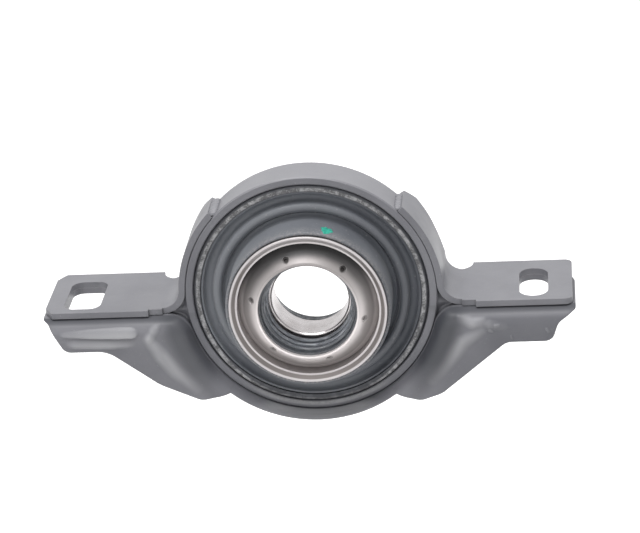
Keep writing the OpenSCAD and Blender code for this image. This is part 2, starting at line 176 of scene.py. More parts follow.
def fade(tree, distance, start, end, to_start=0.0, to_end=1.0):
    """The same for a distance, whose start and end are in mm."""
    return spread(tree, distance, start * MM, end * MM, to_start, to_end)


def band(tree, distance, low, high, soft):
    """1 between low and high, 0 outside, with both sides softened; all in mm."""
    rise = fade(tree, distance, low - soft, low + soft)
    return product(tree, rise, fade(tree, distance, high + soft, high - soft))


def tint(tree, share, first, second):
    """A colour between two others; either may be a socket."""
    colours = [c if isinstance(c, bpy.types.NodeSocket) else (*c, 1.0) for c in (first, second)]
    node = put(tree, "ShaderNodeMix", {0: share, 6: colours[0], 7: colours[1]}, data_type="RGBA")
    return node.outputs[2]


print("node helpers ready")

# %% Helpers for finishes
def new_finish(name, **sockets):
    """A material with its shader and Object coordinates; sockets that stay the same are set here."""
    material = bpy.data.materials.new(name)
    material.use_nodes = True
    tree = material.node_tree
    shader = tree.nodes["Principled BSDF"]
    for key, value in sockets.items():
        shader.inputs[key.replace("_", " ")].default_value = value
    return material, tree, shader, put(tree, "ShaderNodeTexCoord").outputs["Object"]


def drive(tree, shader, **values):
    """Joins what was worked out to the shader's sockets of these names."""
    for key, value in values.items():
        tree.links.new(value, shader.inputs[key.replace("_", " ")])


def axes(tree, vector):
    """The x, y and z of a vector."""
    node = put(tree, "ShaderNodeSeparateXYZ", {0: vector})
    return node.outputs["X"], node.outputs["Y"], node.outputs["Z"]


def hypotenuse(tree, a, b):
    """sqrt(a*a + b*b), as the length of a flat vector."""
    flat = put(tree, "ShaderNodeCombineXYZ", {"X": a, "Y": b}).outputs[0]
    return put(tree, "ShaderNodeVectorMath", {0: flat}, operation="LENGTH").outputs["Value"]


def worn_edges(tree, radius):
    """How far the surface is from flat near by: 1 less the dot product of the face's normal with a
    rounded normal. It also gives that rounded normal, which softens a sharp edge."""
    rounded = put(tree, "ShaderNodeBevel", {"Radius": radius}, samples=6).outputs["Normal"]
    flat = put(tree, "ShaderNodeNewGeometry").outputs["Normal"]
    dot = put(tree, "ShaderNodeVectorMath", {0: rounded, 1: flat}, operation="DOT_PRODUCT")
    return spread(tree, dot.outputs["Value"], 0.995, 0.88), rounded


def hollows(tree, reach, full=0.30):
    """1 in tight corners and 0 in the open, from the share of the sky that is left within this reach;
    it is 1 where no more than the share full is left."""
    sky = put(tree, "ShaderNodeAmbientOcclusion", {"Distance": reach}, samples=8).outputs["AO"]
    return spread(tree, sky, 0.85, full)


def turned_marks(tree, x, y, z, pitch):
    """Fine rings as a lathe or a press tool leaves them: noise on radius + 0.6 y, one line a pitch.
    The radius about the shaft, sqrt(x*x + z*z), is given too."""
    radius = hypotenuse(tree, x, z)
    line = put(tree, "ShaderNodeMath", {0: y, 1: 0.6, 2: radius}, operation="MULTIPLY_ADD")
    rings = put(tree, "ShaderNodeTexNoise", {"W": math_node(tree, "DIVIDE", line.outputs[0], pitch),
                                             "Scale": 1.0, "Detail": 2.0}, noise_dimensions="1D")
    return rings.outputs["Fac"], radius


def raise_surface(tree, shader, height, depth, normal=None, strength=1.0):
    """A bump of this depth in metres, on top of a softened normal if there is one."""
    inputs = {"Height": height, "Distance": depth, "Strength": strength}
    if normal is not None:
        inputs["Normal"] = normal
    drive(tree, shader, Normal=put(tree, "ShaderNodeBump", inputs).outputs["Normal"])


print("finish helpers ready")

# %% [markdown]
# ## Floor, world and lamps
# The part lies in an even, bright studio. The light comes from a wide lamp overhead and a weaker one
# beside the camera, so the tops of the feet are the lightest faces and the wings shade downwards. A
# card behind at the right brightens the right arm and the ring's right shoulder, and a weak one low
# in front lifts the faces that look down.
# The floor is a large sheet that curves nowhere; it is far enough below that only a faint shadow
# reaches it. Rays that the camera, metal or glass send out meet a white room, and the light that
# falls on the object stays at a plain level.

# %% Floor
FLOOR_Z, FLOOR_HALF, FLOOR_GLOW = -0.16, 6.0, 0.55


def white_rays(tree):
    """1 for rays that the camera, metal or glass send out, and 0 for light on its way to the object."""
    ray = put(tree, "ShaderNodeLightPath").outputs
    either = math_node(tree, "MAXIMUM", ray["Is Camera Ray"], ray["Is Glossy Ray"])
    return math_node(tree, "MAXIMUM", either, ray["Is Transmission Ray"])


corners = FLOOR_HALF * np.array([[-1, -1, 0], [1, -1, 0], [1, 1, 0], [-1, 1, 0]]) + [0, 0, FLOOR_Z]
floor_mesh = bpy.data.meshes.new("floor")
floor_mesh.from_pydata(corners.tolist(), [], [(0, 1, 2, 3)])
floor = add_to_scene("floor", floor_mesh)

floor_finish = bpy.data.materials.new("studio_floor")
floor_finish.use_nodes = True
tree = floor_finish.node_tree
matt = put(tree, "ShaderNodeBsdfDiffuse", {"Color": (0.86, 0.86, 0.86, 1)})
glow = put(tree, "ShaderNodeEmission", {"Color": (1, 1, 1, 1),
                                        "Strength": product(tree, white_rays(tree), FLOOR_GLOW)})
both = put(tree, "ShaderNodeAddShader", {0: matt.outputs[0], 1: glow.outputs[0]})
drive(tree, tree.nodes["Material Output"], Surface=both.outputs[0])
floor_mesh.materials.append(floor_finish)
print("floor at", FLOOR_Z)

# %% World and lamps
ROOM_LIGHT, ROOM_WHITE = 0.32, 1.0
NEARLY_Y = [0.0, 1.0, 0.01]
world = bpy.data.worlds.new("studio")
bpy.context.scene.world = world
world.use_nodes = True
tree = world.node_tree
room = tree.nodes["Background"]
room.inputs["Color"].default_value = (1, 1, 1, 1)
drive(tree, room, Strength=spread(tree, white_rays(tree), 0.0, 1.0, ROOM_LIGHT, ROOM_WHITE))


def lamp(name, place, aim, size, power):
    """A square area lamp that faces the point aim: away points from aim to the lamp, and level lies
    across it."""
    light = bpy.data.lights.new(name, "AREA")
    light.size, light.energy = size, power
    away = np.subtract(place, aim) / np.linalg.norm(np.subtract(place, aim))
    level = np.cross(NEARLY_Y, away)
    level /= np.linalg.norm(level)
    add_to_scene(name, light).matrix_world = pose(level, np.cross(away, level), away, place)


lamp("overhead", (-0.15, -0.25, 1.1), (0, 0, 0), 0.8, 12.5)
lamp("beside_camera", (-0.5, -1.1, 0.35), (0, 0, 0), 0.7, 2.2)
lamp("right_card", (0.75, 0.30, 0.45), (0, 0, 0), 0.5, 2.5)
lamp("table_card", (0.30, -0.70, -0.12), (0, 0, -0.02), 0.5, 0.5)
bpy.context.scene.view_settings.view_transform = "Standard"

# %% [markdown]
# ## Grey paint on the bracket
# The bracket is pressed from sheet and dipped in a thin grey paint. It has a satin shine, a little
# cloudiness where it ran, fine orange peel, and a paler line where it pulled back from sharp edges.
# Faces that look up are lighter, from dust and from painted light that grows with height, and painted shade
# darkens the corners. A plain grey would look like plastic, so all of these are here. The wings' skins,
# made further down, carry an attribute that gives their raised relief a painted highlight.

# %% Bracket paint, coat, wear, painted light and painted shade
bracket_paint, tree, shader, place = new_finish("bracket_paint_finish", Specular_IOR_Level=0.5)
x, y, z = axes(tree, place)
radius = hypotenuse(tree, x, z)
cloud = noise(tree, place, 38.0, 4.0)
grain = noise(tree, place, 900.0, 2.0)
edge, rounded = worn_edges(tree, 0.45 * MM)
grey = tint(tree, spread(tree, cloud, 0.3, 0.7), (0.150, 0.151, 0.168), (0.188, 0.188, 0.207))
looks_up = axes(tree, put(tree, "ShaderNodeNewGeometry").outputs["Normal"])[2]
# Lighter on faces that look up: dust, and painted light that grows with height.
dust_and_top_light = product(tree, spread(tree, looks_up, 0.2, 1.0), fade(tree, z, -5, 45, 0.30, 0.60))
grey = tint(tree, dust_and_top_light, grey, (0.31, 0.308, 0.328))
speck = spread(tree, noise(tree, place, 1500.0, 1.0), 0.70, 0.78)
grey = tint(tree, product(tree, speck, 0.35), grey, (0.36, 0.355, 0.36))
grey = tint(tree, product(tree, edge, 0.30), grey, (0.42, 0.41, 0.42))
# Painted highlight on the wings' raised relief, from the skins' attribute.
relief_highlight = put(tree, "ShaderNodeAttribute", attribute_name="relief_highlight").outputs["Fac"]
grey = tint(tree, product(tree, relief_highlight, 0.75), grey, (0.40, 0.40, 0.415))
# Painted shade: darker where little sky is seen within 5 mm.
grey = tint(tree, product(tree, hollows(tree, 5 * MM), 0.6), grey, (0.045, 0.047, 0.055))
print("coat and wear nodes", len(tree.nodes))

# %% [markdown]
# ## Where the paint is darker or lighter: painted shade, painted light and bare paint
# The paint is darker or lighter by place. A painted shadow makes it darkest on the flange beside the
# ring and darkens the strip under the feet, and painted shade darkens the ring's left side. It is
# also darker low on the wings and at the right flange's end. At the bottom the ring's inner edge is
# rubbed bare, the ring's outer rim is darker, and painted light makes the saddle's lip pale. Each of
# these is a product of soft steps in x, y, z or the radius, so that no border is sharp. A painted
# picture would do too, but it would have to be unwrapped.

# %% Bracket paint, shade by place
on_ring = fade(tree, y, RING_FRONT_Y + 0.4, RING_FRONT_Y + 0.1)
on_flange = fade(tree, y, -3.2, -4.5)
# Painted shadow on the flange beside the ring, where the ring and feet shade it.
shadow_beside_ring = product(tree, fade(tree, radius, 62.5, 55.5), on_flange,
                      fade(tree, math_node(tree, "ABSOLUTE", x), 33, 43),
                      fade(tree, x, -60, 60, 0.75, 0.95), fade(tree, z, -40, -26, 0.5, 1.0))
low_wing = product(tree, fade(tree, radius, 60, 63), on_flange, fade(tree, z, -15, -20, 0.0, 0.22))
# Painted shade on the front of the ring's left side.
shaded_left_ring = product(tree, band(tree, radius, RING_BORE - 0.1, RING + 0.3, 0.1), on_ring,
                    fade(tree, x, -34, -47, 0.0, 0.30))
# Painted shadow on the strip under each foot's front edge.
shadow_under_foot = product(tree, fade(tree, z, -9.8, -6.9), fade(tree, y, -2.6, -3.6),
                     spread(tree, looks_up, 0.995, 0.95), fade(tree, z, WEB_Z + 0.2, WEB_Z - 0.1))
right_end = product(tree, fade(tree, x, 62, 72), fade(tree, y, -3.2, -3.6),
                    fade(tree, z, -8.6, -10.4, 0.0, 0.50))
for share, colour in ((shadow_beside_ring, (0.042, 0.044, 0.052)), (low_wing, (0.085, 0.087, 0.100)),
                      (shaded_left_ring, (0.070, 0.072, 0.084)),
                      (product(tree, shadow_under_foot, 0.8), (0.070, 0.072, 0.082)),
                      (right_end, (0.085, 0.087, 0.100))):
    grey = tint(tree, share, grey, colour)
print("shaded paint nodes", len(tree.nodes))

# %% Bracket paint, bottom of the ring
low_ring = product(tree, fade(tree, z, -36, -44), on_ring)
bare = product(tree, low_ring, band(tree, radius, RING_BORE, RING_BORE + 1.6, 0.2), 0.75)
bare_grey = tint(tree, grain, (0.13, 0.13, 0.135), (0.40, 0.40, 0.41))
grey = tint(tree, bare, grey, bare_grey)
dim = product(tree, low_ring, band(tree, radius, RING - 1.2, RING - 0.02, 0.2), 0.5)
grey = tint(tree, dim, grey, (0.060, 0.062, 0.072))
# Painted light on the saddle's lip at the bottom, palest next to the ring.
lit_low_lip = product(tree, fade(tree, z, -44, -48), fade(tree, y, RING_FRONT_Y, RING_FRONT_Y - 0.6),
                  fade(tree, radius, RING - 0.05, RING + 0.05, 0.0, 0.75))
outward = fade(tree, radius, RING + 0.3, RING + 2.1)
lit_lip_grey = tint(tree, outward, (0.56, 0.56, 0.575), (0.30, 0.30, 0.315))
grey = tint(tree, lit_low_lip, grey, lit_lip_grey)
satin = spread(tree, cloud, 0.25, 0.75, 0.46, 0.34)
matt_under = math_node(tree, "MAXIMUM", satin, product(tree, shadow_under_foot, 0.95))
drive(tree, shader, Base_Color=grey, Roughness=matt_under)
raise_surface(tree, shader, grain, 0.03 * MM, rounded, 0.5)
print("paint nodes", len(tree.nodes))

# %% [markdown]
# ## Bare edge of the sleeve
# A steel sleeve is pressed into the ring, and the rubber is bonded to it. Its front edge was ground
# after moulding, so it is a bright, rough, speckled ring with crumbs of rubber left on it. Two noises
# of different size give the crumbs and the tiny glints. The ground band sags outwards at the bottom
# and fades there, and the rest of the edge is dark with rubber.

# %% Sleeve edge
GROUND_IN, GROUND_OUT, SAG = 43.5, 44.9, 1.1
sleeve_steel, tree, shader, place = new_finish("sleeve_edge_finish", Metallic=0.35)
x, _, z = axes(tree, place)
crumbs = spread(tree, noise(tree, place, 420.0, 4.0, 0.7), 0.40, 0.62)
glint = spread(tree, noise(tree, place, 1600.0, 2.0), 0.52, 0.70)
steel = tint(tree, crumbs, (0.115, 0.115, 0.119), (0.285, 0.285, 0.292))
steel = tint(tree, product(tree, glint, 0.35), steel, (0.60, 0.59, 0.595))
sagging = math_node(tree, "SUBTRACT", hypotenuse(tree, x, z), fade(tree, z, -20, -42, 0.0, SAG * MM))
ground = product(tree, band(tree, sagging, GROUND_IN, GROUND_OUT, 0.25),
                 fade(tree, z, -34, -43, 1.0, 0.3))
steel = tint(tree, ground, (0.070, 0.072, 0.080), steel)
drive(tree, shader, Base_Color=steel, Roughness=spread(tree, crumbs, 0.0, 1.0, 0.70, 0.42))
raise_surface(tree, shader, crumbs, 0.10 * MM)
print("sleeve nodes", len(tree.nodes))

# %% [markdown]
# ## Bare steel of the carrier and dust covers
# The tube around the bearing and the two covers are drawn from bare sheet. They carry rings from the
# tools and bright rubbed edges. Painted reflection and shade make the covers light and pinkish at the
# lip and dark further out. The chamfer inside the tube's rim is brown, and painted reflection keeps it
# lighter at the top. Painted light makes the lower half lighter and the upper half darker. The marks
# follow the radius and the height, so these choose the colour. Rings from the tools could be
# modelled, but they are hundredths of a millimetre deep, so they are a bump.

# %% Pressed steel, colour by radius
LIP_LIGHT_R, OUTER_SHADE_R = 20.8, 23.6
RIM_R, CHAMFER_IN, CHAMFER_OUT = 27.35, 28.2, 29.6
pressed_steel, tree, shader, place = new_finish("pressed_steel_finish", Anisotropic=0.25)
x, y, z = axes(tree, place)
rings, radius = turned_marks(tree, x, y, z, 0.16 * MM)
stain = noise(tree, place, 95.0, 4.0)
edge, rounded = worn_edges(tree, 0.25 * MM)
# Painted reflection and shade: light at the lip and dark further out, along a wandering border.
wave = product(tree, math_node(tree, "SUBTRACT", stain, 0.5), 1.6 * MM)
toward_lip = fade(tree, math_node(tree, "ADD", radius, wave), OUTER_SHADE_R, LIP_LIGHT_R)
# Painted light: lighter in the lower half and darker in the upper.
low = fade(tree, z, 24, -10)
outer_shade = tint(tree, low, (0.034, 0.035, 0.038), (0.40, 0.370, 0.365))
lip_light = tint(tree, low, (0.26, 0.243, 0.241), (0.84, 0.795, 0.790))
steel = tint(tree, toward_lip, outer_shade, lip_light)
rim = fade(tree, radius, RIM_R, RIM_R + 0.25)
steel = tint(tree, rim, steel, (0.50, 0.475, 0.480))
# Brown chamfer; its fading towards the top is painted reflection.
brown = product(tree, band(tree, radius, CHAMFER_IN, CHAMFER_OUT, 0.2), fade(tree, z, 28, 14, 0.25, 0.95))
steel = tint(tree, brown, steel, (0.13, 0.115, 0.110))
steel = tint(tree, product(tree, rings, 0.18), steel, (0.50, 0.47, 0.455))
steel = tint(tree, product(tree, edge, 0.5), steel, (0.66, 0.64, 0.64))
print("pressed steel nodes", len(tree.nodes))

# %% [markdown]
# ## Creases and stakes of the dust covers
# The cover's outer step is paler in its lower half, and painted shade darkens the hollows and, in the
# upper half, the creases. Six stakes hold the cover, and a painted shadow darkens each stake's pit. The
# angle about the shaft is folded back and forth over half the pitch of the stakes, so one pit is drawn
# six times.

# %% Pressed steel, creases and stakes
STEP_IN, STEP_OUT = 25.4, 27.3
STAKES, STAKE_R, STAKE_TURN = 6, 22.0 * MM, math.radians(48.5)
# Painted shade: darker where little sky is seen within 6 mm.
steel = tint(tree, product(tree, hollows(tree, 6 * MM), 0.2), steel, (0.02, 0.018, 0.017))
# Painted shade in the creases of the upper half.
crease_shade = product(tree, hollows(tree, 1.3 * MM, 0.55), fade(tree, z, 4, 20, 0.0, 0.7))
steel = tint(tree, crease_shade, steel, (0.045, 0.041, 0.040))
pale = product(tree, band(tree, radius, STEP_IN, STEP_OUT, 0.5), fade(tree, z, 18, 2, 0.0, 0.75))
steel = tint(tree, pale, steel, (0.66, 0.62, 0.61))
turn = math_node(tree, "SUBTRACT", math_node(tree, "ARCTAN2", z, x), STAKE_TURN)
sideways = product(tree, math_node(tree, "PINGPONG", turn, math.pi / STAKES), STAKE_R)
from_stake = hypotenuse(tree, sideways, math_node(tree, "SUBTRACT", radius, STAKE_R))
# Painted shadow in each stake's pit, weaker at the bottom.
pit_shadow = product(tree, fade(tree, from_stake, 1.35, 0.85), fade(tree, z, 0, 10, 0.35, 0.9))
steel = tint(tree, pit_shadow, steel, (0.03, 0.027, 0.026))
satin = spread(tree, stain, 0.25, 0.75, 0.56, 0.44)
matt_lip = math_node(tree, "MAXIMUM", satin, fade(tree, radius, 21, 20, 0.0, 0.72))
metal = spread(tree, math_node(tree, "MAXIMUM", toward_lip, rim), 0.0, 1.0, 0.35, 0.8)
drive(tree, shader, Base_Color=steel, Roughness=matt_lip, Metallic=metal)
raise_surface(tree, shader, rings, 0.02 * MM, rounded, 0.7)
print("pressed steel nodes with creases and stakes", len(tree.nodes))

# %% [markdown]
# ## Ground steel of the races and balls
# Races are ground and honed, so they are brighter than the pressed pieces, with finer rings and a
# faint warm tint. The balls are polished. The cage between them is brass.

# %% Race steel
race_steel, tree, shader, place = new_finish("race_steel_finish", Metallic=1.0, Anisotropic=0.3)
rings = turned_marks(tree, *axes(tree, place), 0.07 * MM)[0]
film = noise(tree, place, 160.0, 3.0)
edge, rounded = worn_edges(tree, 0.4 * MM)
steel = tint(tree, spread(tree, film, 0.3, 0.7), (0.50, 0.470, 0.470), (0.62, 0.592, 0.596))
steel = tint(tree, product(tree, edge, 0.6), steel, (0.9, 0.88, 0.87))
drive(tree, shader, Base_Color=steel, Roughness=spread(tree, rings, 0.2, 0.8, 0.20, 0.34))
raise_surface(tree, shader, rings, 0.008 * MM, rounded, 0.6)
print("race nodes", len(tree.nodes))

# %% Ball steel and cage brass
ball_steel, tree, shader, place = new_finish("ball_steel_finish", Metallic=1.0)
film = noise(tree, place, 300.0, 3.0)
drive(tree, shader, Base_Color=tint(tree, film, (0.70, 0.69, 0.69), (0.80, 0.80, 0.81)),
      Roughness=spread(tree, film, 0.3, 0.7, 0.06, 0.16))

cage_brass, tree, shader, place = new_finish("cage_brass_finish", Metallic=1.0)
rings = turned_marks(tree, *axes(tree, place), 0.2 * MM)[0]
drive(tree, shader, Base_Color=tint(tree, rings, (0.44, 0.31, 0.14), (0.60, 0.46, 0.24)),
      Roughness=spread(tree, rings, 0.2, 0.8, 0.30, 0.45))
raise_surface(tree, shader, rings, 0.02 * MM)
print("ball and cage finishes made")

# %% [markdown]
# ## Two rubbers
# The cushion is natural rubber: slate black with a grey bloom, a matt skin and faint rings where the
# mould was turned, and a painted highlight on the front of its crest. Its hub is dusty at the front.
# Painted light makes it lighter on the left and at the bottom, and painted shade makes it darker on
# the right. The seals are nitrile, smoother and wet with grease, so they glint. The grease is drawn
# out round the shaft in pale and dark streaks: noise on the angle, the place along the shaft and the
# radius gives them. Painted light lifts the shade in the hollows between the seals' lips. Both are far
# from pure black under studio light.

# %% Cushion rubber
cushion_rubber, tree, shader, place = new_finish("cushion_rubber_finish", Specular_IOR_Level=0.42,
                                                 Sheen_Weight=0.15, Sheen_Roughness=0.5)
x, y, z = axes(tree, place)
rings, radius = turned_marks(tree, x, y, z, 0.5 * MM)
bloom = noise(tree, place, 70.0, 4.0)
skin = noise(tree, place, 1300.0, 2.0)
slate = tint(tree, spread(tree, bloom, 0.3, 0.7), (0.092, 0.101, 0.118), (0.128, 0.137, 0.156))
# Painted highlight on the front of the crest.
crest_highlight = product(tree, fade(tree, y, -1.6, -3.4), band(tree, radius, 35.8, 38.3, 0.5), 0.45)
slate = tint(tree, crest_highlight, slate, (0.21, 0.215, 0.23))
crumb = spread(tree, noise(tree, place, 800.0, 2.0), 0.66, 0.75)
slate = tint(tree, product(tree, crumb, 0.5), slate, (0.34, 0.33, 0.33))
dusty = product(tree, fade(tree, y, -9, -16.4), spread(tree, skin, 0.35, 0.75), 0.75)
slate = tint(tree, dusty, slate, (0.30, 0.280, 0.270))
# Painted light on the left side, stronger higher up.
lit_left_side = product(tree, fade(tree, x, 45, -45, 0.0, 0.50), fade(tree, z, -28, -2, 0.4, 1.0))
slate = tint(tree, lit_left_side, slate, (0.215, 0.225, 0.245))
# Painted light at the bottom, lifting the shade in the fold.
slate = tint(tree, fade(tree, z, -32, -41, 0.0, 0.6), slate, (0.250, 0.260, 0.280))
# Painted shade on the right side.
slate = tint(tree, fade(tree, x, 5, 42, 0.0, 0.45), slate, (0.045, 0.049, 0.060))
uneven = math_node(tree, "ADD", product(tree, rings, 0.6), product(tree, skin, 0.4))
drive(tree, shader, Base_Color=slate, Roughness=spread(tree, bloom, 0.25, 0.75, 0.42, 0.60))
raise_surface(tree, shader, uneven, 0.06 * MM, None, 0.6)
print("cushion nodes", len(tree.nodes))

# %% Seal rubber
STREAK_WIDTH, STREAKS_PER_RADIAN = 0.8 * MM, 3.5
seal_rubber, tree, shader, place = new_finish("seal_rubber_finish", Specular_IOR_Level=0.6,
                                              Coat_Weight=0.4, Coat_Roughness=0.18)
x, y, z = axes(tree, place)
rings, radius = turned_marks(tree, x, y, z, 0.35 * MM)
grease = noise(tree, place, 240.0, 4.0)
black = tint(tree, spread(tree, grease, 0.3, 0.7), (0.090, 0.103, 0.122), (0.200, 0.218, 0.250))
# Painted light: lighter in the hollows between the lips, lifting their shade.
black = tint(tree, product(tree, hollows(tree, 3 * MM, 0.2), 0.7), black, (0.36, 0.375, 0.41))
turn = math_node(tree, "ARCTAN2", z, x)
drawn = put(tree, "ShaderNodeCombineXYZ", {"X": product(tree, turn, STREAKS_PER_RADIAN),
                                           "Y": math_node(tree, "DIVIDE", y, STREAK_WIDTH),
                                           "Z": math_node(tree, "DIVIDE", radius, STREAK_WIDTH)})
streak = put(tree, "ShaderNodeTexNoise", {"Vector": drawn.outputs[0], "Scale": 1.0, "Detail": 3.0,
                                          "Distortion": 0.9}).outputs["Fac"]
black = tint(tree, spread(tree, streak, 0.50, 0.60, 0.0, 0.60), black, (0.42, 0.43, 0.46))
black = tint(tree, spread(tree, streak, 0.46, 0.36, 0.0, 0.60), black, (0.050, 0.054, 0.064))
outer_end = fade(tree, math_node(tree, "ABSOLUTE", y), 13.8, 15.4, 0.0, 0.8)
black = tint(tree, outer_end, black, (0.030, 0.033, 0.040))
drive(tree, shader, Base_Color=black, Roughness=spread(tree, grease, 0.3, 0.7, 0.46, 0.24))
raise_surface(tree, shader, math_node(tree, "ADD", rings, grease), 0.08 * MM, None, 0.7)
print("seal nodes", len(tree.nodes))

# %% [markdown]
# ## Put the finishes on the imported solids
# Each solid already names the finish it takes in the record, so one table from finish name to
# material dresses them all. Only the material slots change; the solids stay as they were packed.

# %% Dress the solids
FINISHES = {"bracket_paint": bracket_paint, "sleeve_steel": sleeve_steel, "race_steel": race_steel,
            "cushion_rubber": cushion_rubber, "pressed_steel": pressed_steel, "ball_steel": ball_steel,
            "seal_rubber": seal_rubber, "cage_metal": cage_brass}
for entry in frame["record"]["subparts"]:
    solid = frame["nodes"][entry["node"]]
    for slot in solid.material_slots:
        slot.material = FINISHES[entry["material_slot"]]

# %% [markdown]
# ## Surfaces from grids
# The pieces below are worked out as whole arrays: a grid of points, and faces between neighbouring
# rows and columns. A grid can join its last row or column to its first, as a turned ring does, or
# close its first and last rows with a cap, as a blob does.

# %% Grid helpers
def grid_piece(name, points, wrap_rows=False, wrap_columns=False, cap_rows=False):
    """A mesh from points[row, column]; each face joins (i, j), (i, j+1), (i+1, j+1), (i+1, j). With caps,
    one face closes the whole of the first row and another closes the last."""
    rows, columns = points.shape[:2]
    i = np.arange(rows if wrap_rows else rows - 1)[:, None]
    j = np.arange(columns if wrap_columns else columns - 1)[None, :]
    i2, j2 = (i + 1) % rows, (j + 1) % columns
    faces = np.stack([i * columns + j, i * columns + j2, i2 * columns + j2, i2 * columns + j], -1)
    faces = faces.reshape(-1, 4).tolist()
    if cap_rows:
        faces += [list(range(columns))[::-1], list(range((rows - 1) * columns, rows * columns))]
    mesh = bpy.data.meshes.new(name)
    mesh.from_pydata(points.reshape(-1, 3).tolist(), [], faces)
    mesh.polygons.foreach_set("use_smooth", np.ones(len(mesh.polygons), bool))
    mesh.update()
    return add_to_scene(name, mesh)


def round_corners(corners, steps=6):
    """A closed outline from rows of (x, y, radius). Each corner becomes an arc that touches both of
    its sides: its middle lies on the bisector, at radius / sin(half the angle) from the corner."""
    p, radius = corners[:, :2], corners[:, 2:]
    back_way, on_way = np.roll(p, 1, 0) - p, np.roll(p, -1, 0) - p
    u = back_way / np.linalg.norm(back_way, axis=1, keepdims=True)
    v = on_way / np.linalg.norm(on_way, axis=1, keepdims=True)
    half = np.arccos(np.clip((u * v).sum(1, keepdims=True), -1, 1)) / 2
    middle = u + v
    middle /= np.linalg.norm(middle, axis=1, keepdims=True)
    centre = p + middle * radius / np.sin(half)
    start, end = p + u * radius / np.tan(half) - centre, p + v * radius / np.tan(half) - centre
    a0 = np.arctan2(start[:, 1], start[:, 0])
    turn = np.arctan2(start[:, 0] * end[:, 1] - start[:, 1] * end[:, 0], (start * end).sum(1))
    angle = a0[:, None] + turn[:, None] * np.linspace(0, 1, steps)[None, :]
    arc = np.stack([np.cos(angle), np.sin(angle)], -1) * radius[:, None, :]
    return (centre[:, None, :] + arc).reshape(-1, 2)


def turned(section, steps):
    """Turns a section of (radius, y) about the shaft: x = radius sin(angle), z = radius cos(angle)."""
    angle = np.linspace(0, 2 * np.pi, steps, endpoint=False)[:, None]
    r, y = section[None, :, 0], section[None, :, 1]
    return np.stack([r * np.sin(angle), y + 0 * angle, r * np.cos(angle)], -1)


def ease(t):
    """A smooth step, 3 t^2 - 2 t^3, with t held between 0 and 1."""
    t = np.clip(t, 0, 1)
    return t * t * (3 - 2 * t)


print("grid helpers ready")

# %% [markdown]
# ## The rubber cushion
# Between the hub on the bearing's tube and the bonded sleeve, the rubber makes one fold, so that the
# shaft can move a few millimetres each way without the rubber stretching. Its edges are round because
# it comes out of a mould. The fold is a closed section turned about the shaft. When the bearing
# floats along the shaft, the hub goes with it and the sleeve stays. The share by which each point
# would follow the bearing, falling smoothly from the hub to the fold's outer wall, is worked out and
# printed, but nothing here moves the cushion by it.

# %% Cushion section and piece
TUBE, HUB, HUB_END = 30.72, 32.0, 16.4
CREST, TROUGH, SLEEVE_BORE = 38.4, 42.2, 43.15
STEPS, WAVES, WAVE_HEIGHT, WAVE_LIMIT = 180, 9, 0.05, 38.0
# Rows of radius, y and corner radius in mm, from the hub's front end round to its rear end.
cushion_corners = np.array([
    (TUBE, -HUB_END, 0.5), (HUB, -HUB_END, 0.6), (HUB, -0.5, 2.2), (34.7, -0.5, 0.9),
    (34.8, -3.35, 1.5), (CREST, -3.35, 1.75), (CREST, 0.70, 1.8), (TROUGH, 0.70, 1.8),
    (TROUGH, -2.3, 0.4), (SLEEVE_BORE, -2.3, 0.3), (SLEEVE_BORE, 12.3, 0.3), (42.3, 12.3, 0.3),
    (42.3, 5.4, 1.5), (36.3, 5.4, 1.0), (36.3, 1.55, 1.6), (33.0, 1.55, 1.6),
    (33.0, 5.4, 0.6), (HUB, 5.6, 0.5), (HUB, HUB_END, 0.6), (TUBE, HUB_END, 0.5)])
section = round_corners(cushion_corners) * MM
wobble = WAVE_HEIGHT * MM * np.sin(WAVES * np.arange(STEPS) / STEPS * 2 * np.pi)
rings_of_points = turned(section, STEPS)
rings_of_points[..., 1] += wobble[:, None] * (section[None, :, 0] < WAVE_LIMIT * MM)
cushion = grid_piece("cushion", rings_of_points[::-1], wrap_rows=True, wrap_columns=True)
cushion.data.materials.append(cushion_rubber)
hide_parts("rubber_cushion")
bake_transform(cushion)
print("cushion", len(cushion.data.polygons), "faces")

# %% How far each ring of the cushion follows
STAYS, FOLLOWS = 38.2, 32.3
radius = np.hypot(rings_of_points[..., 0], rings_of_points[..., 2]).ravel() / MM
share = ease((STAYS - radius) / (STAYS - FOLLOWS)).astype(np.float32)
print("radius", radius.min().round(2), "to", radius.max().round(2), "share", share.min(), "to", share.max())

# %% [markdown]
# ## The skin of the wings
# The saddle's front was drawn over a worn die. Its bend swells and creases under the left foot, it is
# dented under the right one, and a soft ridge runs down each wing. None of this changes how the part
# fits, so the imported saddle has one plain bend, and the uneven front is a painted skin laid on it.
# Each wing is one grid. A column starts on the web, goes round the bend and down the flange, and turns
# over the flange's edge. A row starts at the foot's end, runs straight, turns the corner and follows
# the ring. The left wing is worked out on the right and mirrored. Sizes in these cells are in mm.

# %% Lines along a wing
BEND, CORNER, BEND_Y = 7.0, 10.5, -2.0
FRONT_Y = BEND_Y - BEND
CORNER_Z = WEB_Z - CORNER
CORNER_X = math.sqrt((RING + CORNER) ** 2 - CORNER_Z ** 2)
CORNER_TURN = math.atan2(-CORNER_Z, CORNER_X)
ON_STRAIGHT, ON_CORNER, ON_RING = (np.linspace(0, 1, columns) for columns in (170, 40, 110))


